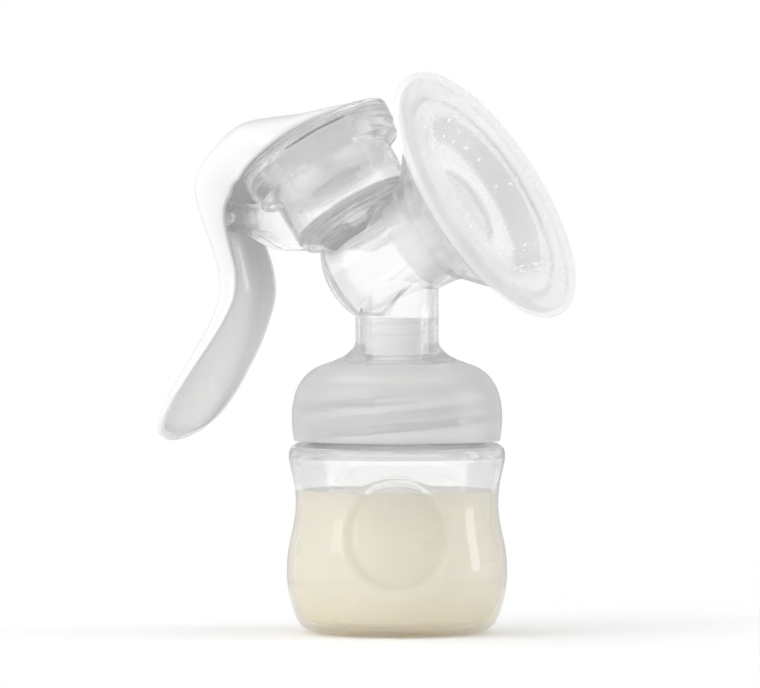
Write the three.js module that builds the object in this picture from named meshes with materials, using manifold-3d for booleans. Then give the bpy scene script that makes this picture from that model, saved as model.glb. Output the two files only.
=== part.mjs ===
// A manual breast pump standing on its feeding bottle.
// Millimetres, +Z up. The origin is the centre of the bottle's base. The pump is symmetric about the plane Y = 0:
// the funnel leans towards +X and the squeeze lever hangs on the -X side.

import * as THREE from 'three';
import { mergeVertices } from 'three/addons/utils/BufferGeometryUtils.js';
import Module from 'manifold-3d';

const wasm = await Module();
wasm.setup();

// ---- driving dimensions ----

const AROUND = 36;             // facets round a large revolved piece
const AROUND_SMALL = 20;       // facets round a small one
const GAP = 0.3;               // clearance between pieces that touch

// Bottle, a 125 ml wide-neck feeding bottle
const BOTTLE_NECK_R = 28.4;
const BOTTLE_NECK_INNER_R = 26.2;
const BOTTLE_MOUTH_Z = 77.2;
const DIMPLE_HEIGHT = 31;      // the thumb dimples' centre
const DIMPLE_R = 16.5;
const DIMPLE_DEPTH = 0.8;
const DIMPLE_TURN = THREE.MathUtils.degToRad(-65);   // where the front dimple looks, from +X about Z
const MILK_Z = 44;

// Two-start screw between bottle and collar
const THREAD_LEAD = 17;
const THREAD_TURNS = 0.56;
const THREAD_HEIGHT = 1.5;     // how far a ridge stands off its wall
const BOTTLE_THREAD_Z = 63;    // start of the bottle's ridges
const COLLAR_THREAD_Z = 62;    // start of the collar's ridges
const THREAD_DROP = 3.3;       // the collar's ridges run this far under the bottle's

// Collar and neck of the pump body
const COLLAR_INNER_R = 30.6;
const NECK_R = 13;
const NECK_BORE_R = 11;

// Elbow and funnel, turned about the funnel axis
const ELBOW = new THREE.Vector3(0, 0, 119.3);        // where the funnel axis meets the neck axis
const FUNNEL_RISE = THREE.MathUtils.degToRad(30.5);  // of the funnel axis over the horizontal
const TUBE_R = 15.5;           // at the elbow's back; the tube widens a little towards the funnel
const TUBE_BORE_R = 13.5;
const ELBOW_BACK_R = 24;       // radius of the domed back of the elbow

// Vacuum chamber, turned about the chamber axis
const CHAMBER = new THREE.Vector3(-4.9, 0, 116.4);   // foot of the chamber axis, on the funnel axis
const CHAMBER_LEAN = THREE.MathUtils.degToRad(33);   // of the chamber axis from the vertical, towards -X
const RIM_R = 25.9;
const RIM_T = 44.4;            // top of the rim, along the chamber axis
const CUP_R = 20.4;
const CUP_BORE_R = 18.6;
const AIR_PASSAGE_R = 5;

// Handle
const PIVOT = new THREE.Vector3(-56.5, 0, 130);
const PIN_R = 2.3;
const HANDLE_WALL = 2;
const SQUEEZE = THREE.MathUtils.degToRad(15);        // the handle's full stroke
const SECTION_POWER = 2.5;     // 2 would be an ellipse; more is boxier

// Stem
const BAR_T = 47.5;            // the cross-bar's height along the chamber axis
const BAR_R = 1.4;
const BAR_HALF_LENGTH = 6;

// ---- solids ----

// A closed solid from any closed three.js geometry.
function solid(geometry) {
  const bare = geometry.clone();
  bare.deleteAttribute('normal');
  bare.deleteAttribute('uv');
  const merged = mergeVertices(bare, 1e-4);
  const vertices = merged.attributes.position.array;
  const triangles = [];
  for (let i = 0; i < merged.index.count; i += 3) {
    const [a, b, c] = [0, 1, 2].map((k) => merged.index.getX(i + k));
    if (a !== b && b !== c && c !== a) triangles.push(a, b, c);
  }
  if (volume(vertices, triangles) < 0) triangles.reverse();
  return new wasm.Manifold(new wasm.Mesh({
    numProp: 3,
    vertProperties: new Float32Array(vertices),
    triVerts: new Uint32Array(triangles),
  }));
}

function volume(vertices, triangles) {
  const corner = (i) => new THREE.Vector3().fromArray(vertices, 3 * triangles[i]);
  let sum = 0;
  for (let i = 0; i < triangles.length; i += 3) {
    sum += corner(i).dot(corner(i + 1).cross(corner(i + 2)));
  }
  return sum / 6;
}

function join(...solids) {
  return solids.reduce((all, next) => all.add(next));
}

function geometryOf(body) {
  const mesh = body.getMesh();
  const geometry = new THREE.BufferGeometry();
  geometry.setAttribute('position', new THREE.BufferAttribute(new Float32Array(mesh.vertProperties), 3));
  geometry.setIndex(new THREE.BufferAttribute(new Uint32Array(mesh.triVerts), 1));
  geometry.computeVertexNormals();
  return geometry;
}

// ---- shapes ----

// Turns an outline of [radius, height] points about +Z.
function turned(outline, facets = AROUND) {
  const points = outline.map(([r, z]) => new THREE.Vector2(r, z));
  return new THREE.LatheGeometry(points, facets).rotateX(Math.PI / 2);
}

// The same for a ring: its outline doesn't touch the axis and closes on itself.
function turnedRing(outline, facets = AROUND) {
  return turned([...outline, outline[0]], facets);
}

// A straight rod along Y.
function crossRod(radius, from, to, x, z, facets = 14) {
  return new THREE.CylinderGeometry(radius, radius, to - from, facets).translate(x, (from + to) / 2, z);
}

// A plate parallel to the XZ plane, from an outline of [x, z] points, between two values of Y.
function plate(outline, from, to) {
  const shape = new THREE.Shape(outline.map(([x, z]) => new THREE.Vector2(x, z)));
  return new THREE.ExtrudeGeometry(shape, { depth: to - from, bevelEnabled: false })
    .rotateX(Math.PI / 2)
    .translate(0, to, 0);
}

// Extrudes a shape by one unit and then carries each of its points to a new place.
function swept(shape, steps, place) {
  const geometry = new THREE.ExtrudeGeometry(shape, { depth: 1, steps, bevelEnabled: false });
  const position = geometry.attributes.position;
  for (let i = 0; i < position.count; i++) {
    const p = place(position.getX(i), position.getY(i), position.getZ(i));
    position.setXYZ(i, p.x, p.y, p.z);
  }
  return geometry;
}

// Points of a circular arc in a flat outline.
function arc(centreX, centreY, radius, fromDegrees, toDegrees, steps) {
  return Array.from({ length: steps + 1 }, (_, i) => {
    const turn = THREE.MathUtils.degToRad(fromDegrees + (toDegrees - fromDegrees) * i / steps);
    return [centreX + radius * Math.cos(turn), centreY + radius * Math.sin(turn)];
  });
}

// ---- the two tilted axes ----

const FUNNEL_TURN = Math.PI / 2 - FUNNEL_RISE;

function inFunnel(geometry) {
  return geometry.rotateY(FUNNEL_TURN).translate(ELBOW.x, ELBOW.y, ELBOW.z);
}

function inChamber(geometry) {
  return geometry.rotateY(-CHAMBER_LEAN).translate(CHAMBER.x, CHAMBER.y, CHAMBER.z);
}

// The [x, z] of a point r across and t along the chamber axis.
function fromChamber(r, t) {
  const [sin, cos] = [Math.sin(CHAMBER_LEAN), Math.cos(CHAMBER_LEAN)];
  return [CHAMBER.x + r * cos - t * sin, CHAMBER.z + r * sin + t * cos];
}

// The [r, t] of a point of the plane Y = 0.
function toChamber(x, z) {
  const [sin, cos] = [Math.sin(CHAMBER_LEAN), Math.cos(CHAMBER_LEAN)];
  const [dx, dz] = [x - CHAMBER.x, z - CHAMBER.z];
  return [dx * cos + dz * sin, -dx * sin + dz * cos];
}

// ---- screw thread ----

// One right-hand ridge. side is +1 on the outside of a wall of this radius, and -1 on the inside.
function threadRidge(radius, side, startTurn, startZ) {
  const root = 1.5;
  const crest = 0.8;
  const shape = new THREE.Shape([
    new THREE.Vector2(-0.7, -root),
    new THREE.Vector2(0, -root),
    new THREE.Vector2(1, -crest),
    new THREE.Vector2(1, crest),
    new THREE.Vector2(0, root),
    new THREE.Vector2(-0.7, root),
  ]);
  return swept(shape, 18, (x, y, along) => {
    const fade = Math.min(1, 0.15 + 8 * Math.min(along, 1 - along));
    const r = radius + side * (x > 0 ? x * THREAD_HEIGHT * fade : x);
    const turn = startTurn + 2 * Math.PI * THREAD_TURNS * along;
    return new THREE.Vector3(
      r * Math.cos(turn),
      r * Math.sin(turn),
      startZ + y + THREAD_LEAD * THREAD_TURNS * along,
    );
  });
}

// Two ridges that start at startZ, on the helices that pass zeroZ at turn 0 and at half a turn.
function twoStartThread(radius, side, startZ, zeroZ) {
  const firstTurn = 2 * Math.PI * (startZ - zeroZ) / THREAD_LEAD;
  return [firstTurn, firstTurn + Math.PI].map((turn) => solid(threadRidge(radius, side, turn, startZ)));
}

// ---- bottle and milk ----

const BOTTLE_WALL_OUTSIDE = [
  [24, 0], [27.8, 0.8], [30.6, 2.8], [33.1, 9], [34.3, 15], [34.5, 21], [33.8, 27.5], [32.6, 33], [31.8, 39],
  [32, 45], [33, 50.5], [33.9, 55], [33.4, 57.8], [31.5, 59.3],
];
const BOTTLE_WALL_INSIDE = [
  [BOTTLE_NECK_INNER_R, 60], [30.4, 57.2], [31.8, 55], [31, 50.5], [30, 45], [29.8, 39], [30.6, 33],
  [31.8, 27.5], [32.5, 21], [32.3, 15], [31.1, 9.5], [28.7, 4.6], [24.4, 3], [0, 2.8],
];

// Sinks the two opposite thumb dimples into the outer wall of the outline turned by turned(), whose outer points
// come first.
function pressDimples(outline, outerPoints) {
  const geometry = turned(outline);
  const position = geometry.attributes.position;
  for (let i = 0; i < position.count; i++) {
    const [x, y, z] = [position.getX(i), position.getY(i), position.getZ(i)];
    const r = Math.hypot(x, y);
    if (i % outline.length >= outerPoints || r === 0) continue;
    const turn = Math.atan2(y, x) - DIMPLE_TURN;
    const round = Math.atan(Math.tan(turn)) * r;
    const away = Math.hypot(round, z - DIMPLE_HEIGHT);
    const sink = DIMPLE_DEPTH * (1 - THREE.MathUtils.smoothstep(away, DIMPLE_R - 2.5, DIMPLE_R + 1));
    position.setXY(i, x * (r - sink) / r, y * (r - sink) / r);
  }
  return geometry;
}

function bottle() {
  const shell = pressDimples([
    [0, 0],
    ...BOTTLE_WALL_OUTSIDE,
    [29.2, 59.7], [BOTTLE_NECK_R, 60.6], [BOTTLE_NECK_R, BOTTLE_MOUTH_Z - 0.8],
    [BOTTLE_NECK_R - 0.7, BOTTLE_MOUTH_Z], [BOTTLE_NECK_INNER_R + 0.5, BOTTLE_MOUTH_Z],
    [BOTTLE_NECK_INNER_R, BOTTLE_MOUTH_Z - 0.6],
    ...BOTTLE_WALL_INSIDE,
  ], BOTTLE_WALL_OUTSIDE.length + 1);
  return join(solid(shell), ...twoStartThread(BOTTLE_NECK_R, 1, BOTTLE_THREAD_Z, BOTTLE_THREAD_Z));
}

// The milk fills the bottle's inside up to its level.
function milk() {
  const side = BOTTLE_WALL_INSIDE
    .filter(([r, z]) => z < MILK_Z - 1 && r > 0)
    .map(([r, z]) => [r - GAP, z + (r < 29 ? GAP : 0)])
    .reverse();
  return solid(turned([[0, 2.8 + GAP], ...side, [29.6, MILK_Z], [0, MILK_Z]]));
}

// ---- pump body ----

function collarAndNeckOutside() {
  return turned([
    [0, 60.1], [32.4, 60.1], [33.1, 66.3], [32.8, 71.3], [31.7, 76.3], [28.9, 80.7], [24.8, 83.5], [20.7, 84.8],
    [15.8, 87], [NECK_R, 90], [NECK_R, 112], [0, 112],
  ]);
}

function collarInside() {
  return turned([
    [0, 55], [COLLAR_INNER_R, 55], [COLLAR_INNER_R, 74], [28.9, BOTTLE_MOUTH_Z + 0.5],
    [25.8, BOTTLE_MOUTH_Z + 0.5], [25.8, 73.5], [24.3, 73.5], [24.3, 79.6], [20, 82.8], [NECK_BORE_R, 85.6],
    [NECK_BORE_R, 112], [0, 112],
  ]);
}

function elbowOutside() {
  const halfCap = THREE.MathUtils.radToDeg(Math.asin(TUBE_R / ELBOW_BACK_R));
  return inFunnel(turned([
    ...arc(0, 0, ELBOW_BACK_R, -90, -90 + halfCap, 4).map(([r, s]) => [Math.max(r, 0), s]),
    [16, 0], [16.6, 5], [17.8, 14.6], [33.6, 30.4], [36.4, 33], [41.4, 33.5], [41.9, 34.4], [41.4, 35.2], [0, 35.2],
  ]));
}

function elbowInside() {
  const radius = ELBOW_BACK_R - 2;
  const halfCap = THREE.MathUtils.radToDeg(Math.asin(TUBE_BORE_R / radius));
  return inFunnel(turned([
    ...arc(0, 0, radius, -90, -90 + halfCap, 4).map(([r, s]) => [Math.max(r, 0), s]),
    [14, 0], [14.6, 5], [15.6, 14.5], [17.4, 16.9], [34, 33.6], [34.8, 35.2], [34.8, 37], [0, 37],
  ]));
}

function chamberOutside() {
  return inChamber(turned([
    [0, 8], [15, 8], ...arc(15, 19, CUP_R - 15, -90, 0, 3), [CUP_R, 33.4],
    [24.6, 34], [24.9, 37.8], [25.6, 38.4], [RIM_R, RIM_T], [0, RIM_T],
  ]));
}

function chamberInside() {
  return inChamber(turned([
    [0, 16.2], ...arc(14.6, 20.2, CUP_BORE_R - 14.6, -90, 0, 3), [CUP_BORE_R, 42.2],
    [24, 42.4], [24, 46], [0, 46],
  ]));
}

// The hinge bracket's cheeks stand either side of the middle, and a thin web joins them below.
function bracket() {
  const lowerEdge = [[-25, 120.2], [-33, 119.6], [-40.5, 120.4], [-48, 124.2]];
  const cheek = [
    ...arc(PIVOT.x, PIVOT.z, 4.4, 80, 290, 8),
    ...[...lowerEdge].reverse(),
    fromChamber(-10, 15),
    fromChamber(-19.4, 36),
    fromChamber(-24, 37),
  ];
  const web = [...lowerEdge, ...lowerEdge.map(([x, z]) => [x + 0.5, z + 1.8]).reverse()];
  return [
    solid(plate(cheek, -8, -5)),
    solid(plate(cheek, 5, 8)),
    solid(plate(web, -5.5, 5.5)),
  ];
}

function pumpBody() {
  const outside = join(
    solid(collarAndNeckOutside()), solid(elbowOutside()), solid(chamberOutside()), ...bracket(),
  );
  const airPassage = inChamber(
    new THREE.CylinderGeometry(AIR_PASSAGE_R, AIR_PASSAGE_R, 12, AROUND_SMALL).rotateX(Math.PI / 2).translate(0, 0, 14),
  );
  const inside = join(
    solid(collarInside()), solid(elbowInside()), solid(chamberInside()), solid(airPassage),
    solid(crossRod(PIN_R + GAP, -9, 9, PIVOT.x, PIVOT.z)),
  );
  const thread = twoStartThread(COLLAR_INNER_R, -1, COLLAR_THREAD_Z, BOTTLE_THREAD_Z - THREAD_DROP);
  return join(outside.subtract(inside), ...thread);
}

// ---- silicone pieces ----

// From the tunnel's inner end, out along the side that faces the funnel, round the lip and back along the side that
// faces the user: a steep wall, a ring that rises to the tunnel's mouth, and the tunnel.
function cushion() {
  return solid(turnedRing([
    [13.8, 6], [14.6, 15], [17, 17.1], [33.6, 33.8], [34.3, 35.5], [42.2, 35.6], [42.2, 33.4], [43.3, 33.4],
    ...arc(41, 35.3, 3, -20, 80, 4), [36.5, 39.2], [31.5, 39.4], [28.8, 37.4], [26, 27.6], [24.6, 26.9],
    [15.8, 28.9], [14.2, 29.3], [13, 28.4], [12, 6],
  ]));
}

// The valve plugs into the neck from below: a ribbed tube, a flange, and a bill whose flat tip opens downwards.
const VALVE_TOP_Z = 98.6;
const VALVE_TIP_Z = 67;

// A disc of this radius pressed flatter and flatter towards the tip.
function bill(radius, tipZ, tipHalfWidth, tipHalfThickness, top) {
  const disc = new THREE.Shape(arc(0, 0, 1, 0, 360, AROUND_SMALL).slice(0, -1).map((p) => new THREE.Vector2(...p)));
  return swept(disc, 6, (x, y, along) => {
    const flat = THREE.MathUtils.smoothstep(along, 0.1, 1);
    return new THREE.Vector3(
      x * THREE.MathUtils.lerp(radius, tipHalfWidth, flat),
      y * THREE.MathUtils.lerp(radius, tipHalfThickness, flat),
      THREE.MathUtils.lerp(top, tipZ, along),
    );
  });
}

function valve() {
  const plug = turned([
    [0, 82.2], [14, 82.2], [14, 83.4], [10.3, 84.3], [10.3, 93.3], [10.7, 93.5], [10.7, 95],
    [10.3, 95.2], [10.3, 96.9], [10.7, 97.1], [10.7, VALVE_TOP_Z], [0, VALVE_TOP_Z],
  ], AROUND_SMALL);
  const bore = turned([[0, 81.5], [8.6, 81.5], [8.6, 100], [0, 100]], AROUND_SMALL);
  const outside = join(solid(plug), solid(bill(9.6, VALVE_TIP_Z, 8.2, 1.4, 82.8)));
  return outside.subtract(join(solid(bore), solid(bill(8.2, VALVE_TIP_Z + 1.2, 7, 0.5, 82))));
}

// A folded cup: the flange lies in the rim's rebate, and the middle holds the stem.
function diaphragm() {
  return solid(turnedRing([
    [23.6, 42.8], [23.6, 44.3], [17, 44.3], [16.6, 30], [15.4, 28.6], [13.9, 28.6], [11.6, 31.6], [9.6, 32],
    [3, 32], [3, 30.6], [9.4, 30.6], [10.6, 30.1], [13.2, 27.2], [16, 27.2], [17.7, 29.4], [18.1, 42.8],
  ]));
}

// ---- stem ----

function stem() {
  const post = turned([
    [0, 28.1], [8, 28.1], [8.6, 28.7], [8.6, 30.2], [2.6, 30.2], [2.6, 32.4], [6, 32.4], [6, 33.6], [4.2, 34.4],
    [2.8, 36], [2.6, 48.6], [2.1, 49.1], [0, 49.1],
  ], AROUND_SMALL);
  return join(solid(post), solid(crossRod(BAR_R, -BAR_HALF_LENGTH, BAR_HALF_LENGTH, 0, BAR_T)));
}

// ---- handle ----

// Stations down the handle, from the funnel side of the dome to the lever's tip. Each section is an arch that stands
// on the rim point at both sides and reaches the crown point in the middle.
const DOME_EDGE_T = RIM_T + 0.6;
const DOME_CENTRE_R = -3;
const DOME_HALF_LENGTH = 23;
const DOME_HALF_WIDTH = 26;

// The dome's edge is an ellipse.
function domeHalfWidth(r) {
  return DOME_HALF_WIDTH * Math.sqrt(1 - ((r - DOME_CENTRE_R) / DOME_HALF_LENGTH) ** 2);
}

const HANDLE_STATIONS = [
  ...[[19.6, 46.2], [17, 47.2], [12, 49.2], [6, 51.6], [-4, 57], [-12, 60.9], [-18, 62]].map(([r, crownT]) => ({
    rim: fromChamber(r, DOME_EDGE_T),
    crown: fromChamber(r * 1.05, crownT),
    halfWidth: domeHalfWidth(r),
  })),
  { rim: fromChamber(-22, DOME_EDGE_T), crown: fromChamber(-27, 61.3), halfWidth: 15.6 },
  { rim: fromChamber(-24.8, 44.9), crown: fromChamber(-34.5, 59.2), halfWidth: 14.5 },
  { rim: fromChamber(-28, 43), crown: fromChamber(-40, 55.8), halfWidth: 14 },
  { rim: [-53.4, 134], crown: [-67.9, 135], halfWidth: 13.9 },
  { rim: [-53.6, 128.5], crown: [-65.4, 128], halfWidth: 13.8 },
  { rim: [-52, 121.5], crown: [-62.3, 121], halfWidth: 13.6 },
  { rim: [-49.6, 113.5], crown: [-59.8, 113.2], halfWidth: 13.9 },
  { rim: [-49.3, 105.5], crown: [-59.2, 105.2], halfWidth: 14.8 },
  { rim: [-52, 98], crown: [-61.6, 97.2], halfWidth: 16.4 },
  { rim: [-56, 90.6], crown: [-65.2, 89.6], halfWidth: 18.6 },
  { rim: [-60.8, 83], crown: [-69.4, 81.8], halfWidth: 20.4 },
  { rim: [-66, 75], crown: [-73.8, 73.8], halfWidth: 21.3 },
  { rim: [-71.2, 67.4], crown: [-77.5, 66.9], halfWidth: 19.6 },
  { rim: [-75.4, 62.1], crown: [-79.3, 61.8], halfWidth: 14.2 },
  { rim: [-77.5, 59.6], crown: [-79, 59.4], halfWidth: 6 },
];

function stationCurve(pointOf) {
  return new THREE.CatmullRomCurve3(HANDLE_STATIONS.map(pointOf), false, 'centripetal');
}

const RIM_CURVE = stationCurve(({ rim }) => new THREE.Vector3(rim[0], 0, rim[1]));
const CROWN_CURVE = stationCurve(({ crown }) => new THREE.Vector3(crown[0], 0, crown[1]));

function halfWidthAt(along) {
  const last = HANDLE_STATIONS.length - 1;
  const index = Math.min(Math.floor(along * last), last - 1);
  const from = HANDLE_STATIONS[index].halfWidth;
  const to = HANDLE_STATIONS[index + 1].halfWidth;
  return THREE.MathUtils.lerp(from, to, along * last - index);
}

// A half-round arch, 2 wide and 1 high. foot is how far its legs go on below the rim.
function archShape(foot) {
  const points = arc(0, 0, 1, 0, 180, 12).map(([x, y]) => {
    const boxy = (v) => Math.sign(v) * Math.abs(v) ** (2 / SECTION_POWER);
    return new THREE.Vector2(boxy(x), Math.max(0, boxy(y)));
  });
  if (foot > 0) points.push(new THREE.Vector2(-1, -foot), new THREE.Vector2(1, -foot));
  return new THREE.Shape(points);
}

// The handle's form, drawn in by the given wall, between two stations.
function handleForm(wall, fromStation, toStation) {
  const last = HANDLE_STATIONS.length - 1;
  const foot = wall > 0 ? 0.35 : 0;
  return swept(archShape(foot), Math.round(1.5 * (toStation - fromStation)), (x, y, k) => {
    const along = THREE.MathUtils.lerp(fromStation, toStation, k) / last;
    const rim = RIM_CURVE.getPoint(along);
    const crown = CROWN_CURVE.getPoint(along);
    const depth = rim.distanceTo(crown);
    const out = crown.sub(rim).normalize();
    const place = rim.addScaledVector(out, y * Math.max(depth - wall, 0.4));
    place.y = -x * Math.max(halfWidthAt(along) - wall, 0.4);
    return place;
  });
}

// Where the stem's bar is in the handle's own frame once the handle has turned by this angle. The stem rises along the
// chamber axis by the angle times the pivot's distance from that axis.
function barSeenByHandle(angle) {
  const [pivotR, pivotT] = toChamber(PIVOT.x, PIVOT.z);
  const [r, t] = [-pivotR, BAR_T - pivotT - pivotR * angle];
  return [
    pivotR + r * Math.cos(angle) + t * Math.sin(angle),
    pivotT - r * Math.sin(angle) + t * Math.cos(angle),
  ];
}

// Two ribs under the dome, each with a slot that the stem's bar runs in.
function hookRibs() {
  const [endR, endT] = barSeenByHandle(SQUEEZE);
  const slotR = BAR_R + 0.4;
  const slope = THREE.MathUtils.radToDeg(Math.atan2(endT - BAR_T, endR));
  const slot = [
    ...arc(0, BAR_T, slotR, slope + 90, slope + 270, 8),
    ...arc(endR, endT, slotR, slope - 90, slope + 90, 8),
  ];
  const rib = [[-5.5, 44], [-3, 42.6], [7.5, 42.6], [9.5, 44], [9.5, 49.2], [3, 52.3], [-5.5, 56.8]];
  return [-1, 1].map((side) => {
    const [from, to] = side < 0 ? [-5.3, -3.3] : [3.3, 5.3];
    const body = solid(inChamber(plate(rib, from, to)));
    return body.subtract(solid(inChamber(plate(slot, from - 1, to + 1))));
  });
}

function handle() {
  const shell = solid(handleForm(0, 0, 21)).subtract(solid(handleForm(HANDLE_WALL, 1, 20)));
  const pins = [
    solid(crossRod(PIN_R, 5.4, 12.6, PIVOT.x, PIVOT.z)),
    solid(crossRod(PIN_R, -12.6, -5.4, PIVOT.x, PIVOT.z)),
  ];
  return join(shell, ...pins, ...hookRibs());
}

// ---- materials ----

function plastic(color, roughness, opacity = 1) {
  return new THREE.MeshStandardMaterial({
    color, roughness, metalness: 0, opacity, transparent: opacity < 1,
  });
}

const whitePlastic = plastic(0xf2f2f3, 0.22);
const clearPlastic = plastic(0xdfe3e6, 0.1, 0.45);
const clearBottle = plastic(0xe4e7e9, 0.08, 0.4);
const clearSilicone = plastic(0xe6e8e9, 0.4, 0.7);
const foldedSilicone = plastic(0xdcdfe1, 0.35, 0.7);
const whiteSilicone = plastic(0xf4f4f3, 0.5);
const cream = plastic(0xf3ead6, 0.3);

// ---- the object ----

const group = new THREE.Group();

function add(parent, name, body, material) {
  const mesh = new THREE.Mesh(geometryOf(body), material);
  mesh.name = name;
  parent.add(mesh);
}

const funnelGroup = new THREE.Group();
funnelGroup.position.copy(ELBOW);
funnelGroup.rotation.y = FUNNEL_TURN;

const chamberGroup = new THREE.Group();
chamberGroup.position.copy(CHAMBER);
chamberGroup.rotation.y = -CHAMBER_LEAN;

group.add(funnelGroup, chamberGroup);

add(group, 'bottle', bottle(), clearBottle);
add(group, 'milk', milk(), cream);
add(group, 'pump_body', pumpBody(), clearPlastic);
add(group, 'valve', valve(), whiteSilicone);
add(funnelGroup, 'cushion', cushion(), clearSilicone);
add(chamberGroup, 'diaphragm', diaphragm(), foldedSilicone);
add(chamberGroup, 'stem', stem(), whitePlastic);
add(group, 'handle', handle(), whitePlastic.clone());

export default group;
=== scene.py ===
# A manual breast pump on its feeding bottle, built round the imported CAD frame.
# Lengths in this script are in millimetres until a mesh is made, and Blender objects are in metres.

import math
import random

import bmesh
import bpy
import numpy as np
from mathutils import Matrix, Vector

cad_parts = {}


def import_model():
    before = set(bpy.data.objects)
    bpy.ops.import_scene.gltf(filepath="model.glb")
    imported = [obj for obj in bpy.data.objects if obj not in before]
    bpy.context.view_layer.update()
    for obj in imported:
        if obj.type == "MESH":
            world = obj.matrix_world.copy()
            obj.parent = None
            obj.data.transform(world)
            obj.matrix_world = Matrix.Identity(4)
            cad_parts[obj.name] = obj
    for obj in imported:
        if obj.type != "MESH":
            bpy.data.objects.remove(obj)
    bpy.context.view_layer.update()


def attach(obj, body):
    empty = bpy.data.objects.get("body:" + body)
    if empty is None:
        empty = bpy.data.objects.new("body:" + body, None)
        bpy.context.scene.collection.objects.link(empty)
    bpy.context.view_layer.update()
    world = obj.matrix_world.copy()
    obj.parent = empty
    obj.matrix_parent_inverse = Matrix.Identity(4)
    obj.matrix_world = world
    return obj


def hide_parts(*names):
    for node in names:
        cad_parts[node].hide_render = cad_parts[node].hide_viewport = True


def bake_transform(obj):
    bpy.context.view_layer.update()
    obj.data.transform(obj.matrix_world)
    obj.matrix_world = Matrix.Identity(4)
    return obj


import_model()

MM = 0.001
AROUND = 144            # facets round a large turned piece
AROUND_SMALL = 64       # facets round a small one
AROUND_BOTTLE = 240     # facets round the bottle and the milk, which carry the dimples
AROUND_CUSHION = 192
SHARP = math.radians(32)

# ---- the shared dimensions of the frame ----

ELBOW = (0, 0, 119.3)
FUNNEL_TURN = math.radians(59.5)
CHAMBER = (-4.9, 0, 116.4)
CHAMBER_TURN = math.radians(-33)
PIVOT = (-56.5, 0, 130)

BOTTLE_NECK_R = 28.4
COLLAR_INNER_R = 30.6
THREAD_LEAD = 17
THREAD_TURNS = 0.56
COLLAR_THREAD_TURNS = 0.74      # longer than the CAD's 0.56, on the same helix
THREAD_HEIGHT = 1.5
BOTTLE_THREAD_Z = 63
COLLAR_THREAD_Z = 62
THREAD_DROP = 3.3
FROST_TOP = 84.6        # the collar's frosting ends at this height

DIMPLE_HEIGHT = 31
DIMPLE_OUTER_R = 17.6
DIMPLE_INNER_R = 15.2
DIMPLE_DEPTH = 1.5
DIMPLE_TURN = math.radians(-65)
DIMPLE_FLOOR = 8        # the dimples change nothing below this height
DIMPLE_CEILING = 54     # nor above this one
DIMPLE_LIP = 0.15       # how far the wall stands proud round a dimple
DIMPLE_LIP_WIDTH = 0.8
WALL_LEAST_R = 25       # the bottle's wall is outside this radius, and its base inside
MILK_Z = 44
PIN_R = 2.3
PIN_HOLE_R = 2.6
AIR_PASSAGE_R = 5


def tilted(origin, turn):
    """The frame of an axis that leans in the plane Y = 0."""
    return Matrix.Translation(Vector(origin)) @ Matrix.Rotation(turn, 4, "Y")


UPRIGHT = Matrix.Identity(4)
IN_FUNNEL = tilted(ELBOW, FUNNEL_TURN)
IN_CHAMBER = tilted(CHAMBER, CHAMBER_TURN)


def from_chamber(radius, height):
    """The (x, z) of a point in the plane Y = 0, given across and along the chamber's axis."""
    point = IN_CHAMBER @ Vector((radius, 0, height))
    return (point.x, point.z)


# ---- outlines ----

def rounded(corners, steps=5):
    """An outline with its corners rounded. A corner is (radius, height) or (radius, height, how far the
    rounding reaches along each edge)."""
    points = []
    for i, corner in enumerate(corners):
        here = Vector(corner[:2])
        reach = corner[2] if len(corner) > 2 else 0
        if reach <= 0:
            points.append(tuple(here))
            continue
        before = Vector(corners[i - 1][:2]) - here
        after = Vector(corners[(i + 1) % len(corners)][:2]) - here
        start = here + before.normalized() * min(reach, 0.48 * before.length)
        end = here + after.normalized() * min(reach, 0.48 * after.length)
        for k in range(steps + 1):
            t = k / steps
            points.append(tuple(start * (1 - t) ** 2 + here * 2 * t * (1 - t) + end * t ** 2))
    return points


def spline_point(points, position):
    """A point of the centripetal spline through the points, where position counts them."""
    points = np.asarray(points, float)
    last = len(points) - 1
    index = min(int(position), last - 1)
    t = position - index
    p1, p2 = points[index], points[index + 1]
    p0 = points[index - 1] if index > 0 else 2 * p1 - p2
    p3 = points[index + 2] if index + 2 <= last else 2 * p2 - p1
    d0, d1, d2 = (max(np.linalg.norm(b - a), 1e-9) ** 0.5 for a, b in ((p0, p1), (p1, p2), (p2, p3)))
    m1 = ((p1 - p0) / d0 - (p2 - p0) / (d0 + d1) + (p2 - p1) / d1) * d1
    m2 = ((p2 - p1) / d1 - (p3 - p1) / (d1 + d2) + (p3 - p2) / d2) * d1
    return (p1 + m1 * t + (3 * (p2 - p1) - 2 * m1 - m2) * t ** 2 + (2 * (p1 - p2) + m1 + m2) * t ** 3)


def smooth(points, steps=6):
    """The outline that runs smoothly through the points."""
    count = (len(points) - 1) * steps
    return [tuple(spline_point(points, i / steps)) for i in range(count + 1)]


# ---- meshes ----

def object_from(name, mesh, sharp=SHARP):
    """A smooth-shaded object from a bmesh in millimetres."""
    bmesh.ops.remove_doubles(mesh, verts=mesh.verts, dist=1e-4)
    bmesh.ops.recalc_face_normals(mesh, faces=mesh.faces)
    bmesh.ops.scale(mesh, vec=(MM, MM, MM), verts=mesh.verts)
    data = bpy.data.meshes.new(name)
    mesh.to_mesh(data)
    mesh.free()
    piece = bpy.data.objects.new(name, data)
    bpy.context.scene.collection.objects.link(piece)
    shade(piece, sharp)
    return piece


def shade(piece, sharp=SHARP):
    data = piece.data
    data.polygons.foreach_set("use_smooth", [True] * len(data.polygons))
    data.set_sharp_from_angle(angle=sharp)


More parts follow.
